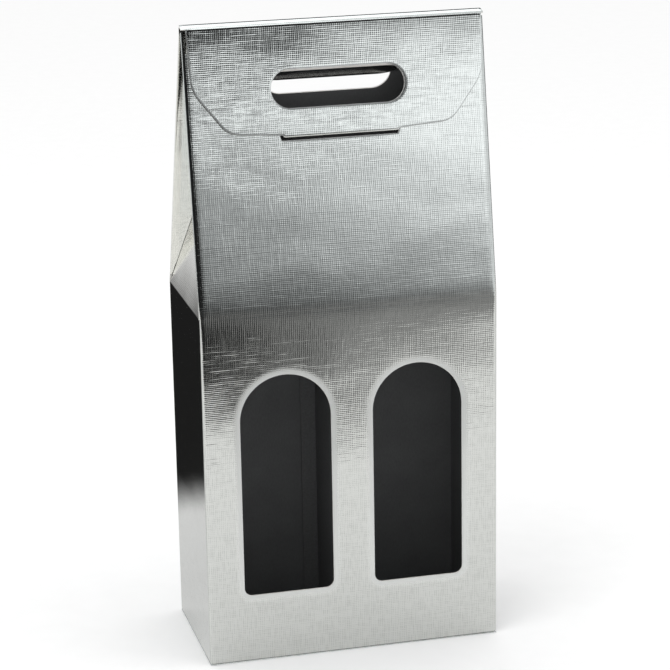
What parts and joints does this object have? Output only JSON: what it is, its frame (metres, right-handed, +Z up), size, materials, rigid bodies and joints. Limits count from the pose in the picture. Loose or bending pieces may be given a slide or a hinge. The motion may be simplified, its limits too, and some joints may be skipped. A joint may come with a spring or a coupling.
{
  "type": "wine bottle carrier",
  "caption": "Folded gift carton for wine bottles, in silver foil-faced board with arched windows, a gusseted gable roof and a closing flap with a hand hole.",
  "frame": {"origin": "middle of the base, on the surface that the carrier stands on", "axes": "+Z up, X across the two bottles, the front with the two windows faces -Y"},
  "size_m": [0.18, 0.0932, 0.3826],
  "materials": {
    "silver_foil": "satin silver foil with a fine linen emboss, laminated on board",
    "grey_liner": "matt dark grey uncoated board, the inner face and the inner pieces"
  },
  "bodies": {
    "box": {"front_wall": "silver_foil", "back_wall": "silver_foil", "left_side_wall": "silver_foil", "right_side_wall": "silver_foil", "glue_flap": "grey_liner", "base_front_panel": "silver_foil", "base_back_panel": "silver_foil", "base_left_flap": "grey_liner", "base_left_glue_corner": "grey_liner", "base_right_flap": "grey_liner", "base_right_glue_corner": "grey_liner", "bottle_divider": "grey_liner"},
    "front_roof": {"front_roof_panel": "silver_foil"},
    "hand_hole_tab": {"hand_hole_tab": "silver_foil"},
    "back_roof": {"back_roof_panel": "silver_foil"},
    "ridge": {"ridge_strip": "silver_foil"},
    "flap": {"closing_flap": "silver_foil"},
    "tab": {"tuck_tab": "silver_foil"},
    "left_gusset": {"left_gusset_triangle": "silver_foil"},
    "right_gusset": {"right_gusset_triangle": "silver_foil"},
    "left_front_leaf": {"left_gusset_front_leaf": "silver_foil"},
    "left_back_leaf": {"left_gusset_back_leaf": "silver_foil"},
    "right_front_leaf": {"right_gusset_front_leaf": "silver_foil"},
    "right_back_leaf": {"right_gusset_back_leaf": "silver_foil"}
  },
  "joints": [
    {"name": "ridge_crease", "type": "hinge", "parent": "back_roof", "child": "ridge", "pos_m": [0, -0.01295, 0.3827], "axis": [-1, 0, 0], "range_deg": [0, 150]},
    {"name": "flap_crease", "type": "hinge", "parent": "ridge", "child": "flap", "pos_m": [0, -0.01965, 0.3805], "axis": [-1, 0, 0], "range_deg": [0, 120]},
    {"name": "tuck_tab_crease", "type": "hinge", "parent": "flap", "child": "tab", "pos_m": [0, -0.03081, 0.31596], "axis": [-1, 0, 0], "range_deg": [0, 30]},
    {"name": "hand_hole_crease", "type": "hinge", "parent": "front_roof", "child": "hand_hole_tab", "pos_m": [0, -0.02147, 0.35412], "axis": [-1, 0, 0], "range_deg": [0, 76]},
    {"name": "back_roof_crease", "type": "hinge", "parent": "box", "child": "back_roof", "pos_m": [0, 0.04665, 0.2155], "axis": [-1, 0, 0], "range_deg": [0, 9]},
    {"name": "front_roof_crease", "type": "hinge", "parent": "box", "child": "front_roof", "pos_m": [0, -0.04665, 0.2155], "axis": [1, 0, 0], "range_deg": [0, 9]},
    {"name": "left_gusset_crease", "type": "hinge", "parent": "box", "child": "left_gusset", "pos_m": [-0.09, 0, 0.2155], "axis": [0, -1, 0], "range_deg": [0, 2.97]},
    {"name": "left_front_leaf_crease", "type": "hinge", "parent": "front_roof", "child": "left_front_leaf", "pos_m": [-0.08865, -0.04532, 0.21527], "axis": [0, 0.1703, 0.9854], "range_deg": [0, 32.85]},
    {"name": "left_back_leaf_crease", "type": "hinge", "parent": "back_roof", "child": "left_back_leaf", "pos_m": [-0.08865, 0.04538, 0.21505], "axis": [0, 0.3358, -0.9419], "range_deg": [0, 34.2]},
    {"name": "right_gusset_crease", "type": "hinge", "parent": "box", "child": "right_gusset", "pos_m": [0.09, 0, 0.2155], "axis": [0, 1, 0], "range_deg": [0, 2.97]},
    {"name": "right_front_leaf_crease", "type": "hinge", "parent": "front_roof", "child": "right_front_leaf", "pos_m": [0.08865, -0.04532, 0.21527], "axis": [0, -0.1703, -0.9854], "range_deg": [0, 32.85]},
    {"name": "right_back_leaf_crease", "type": "hinge", "parent": "back_roof", "child": "right_back_leaf", "pos_m": [0.08865, 0.04538, 0.21505], "axis": [0, -0.3358, 0.9419], "range_deg": [0, 34.2]}
  ],
  "couplings": [
    {"joint": "tuck_tab_crease", "follows": "flap_crease", "ratio": 0.25},
    {"joint": "back_roof_crease", "follows": "ridge_crease", "ratio": 0.06},
    {"joint": "front_roof_crease", "follows": "ridge_crease", "ratio": 0.06},
    {"joint": "left_gusset_crease", "follows": "ridge_crease", "ratio": 0.0198},
    {"joint": "left_front_leaf_crease", "follows": "ridge_crease", "ratio": 0.219},
    {"joint": "left_back_leaf_crease", "follows": "ridge_crease", "ratio": 0.228},
    {"joint": "right_gusset_crease", "follows": "ridge_crease", "ratio": 0.0198},
    {"joint": "right_front_leaf_crease", "follows": "ridge_crease", "ratio": 0.219},
    {"joint": "right_back_leaf_crease", "follows": "ridge_crease", "ratio": 0.228}
  ]
}
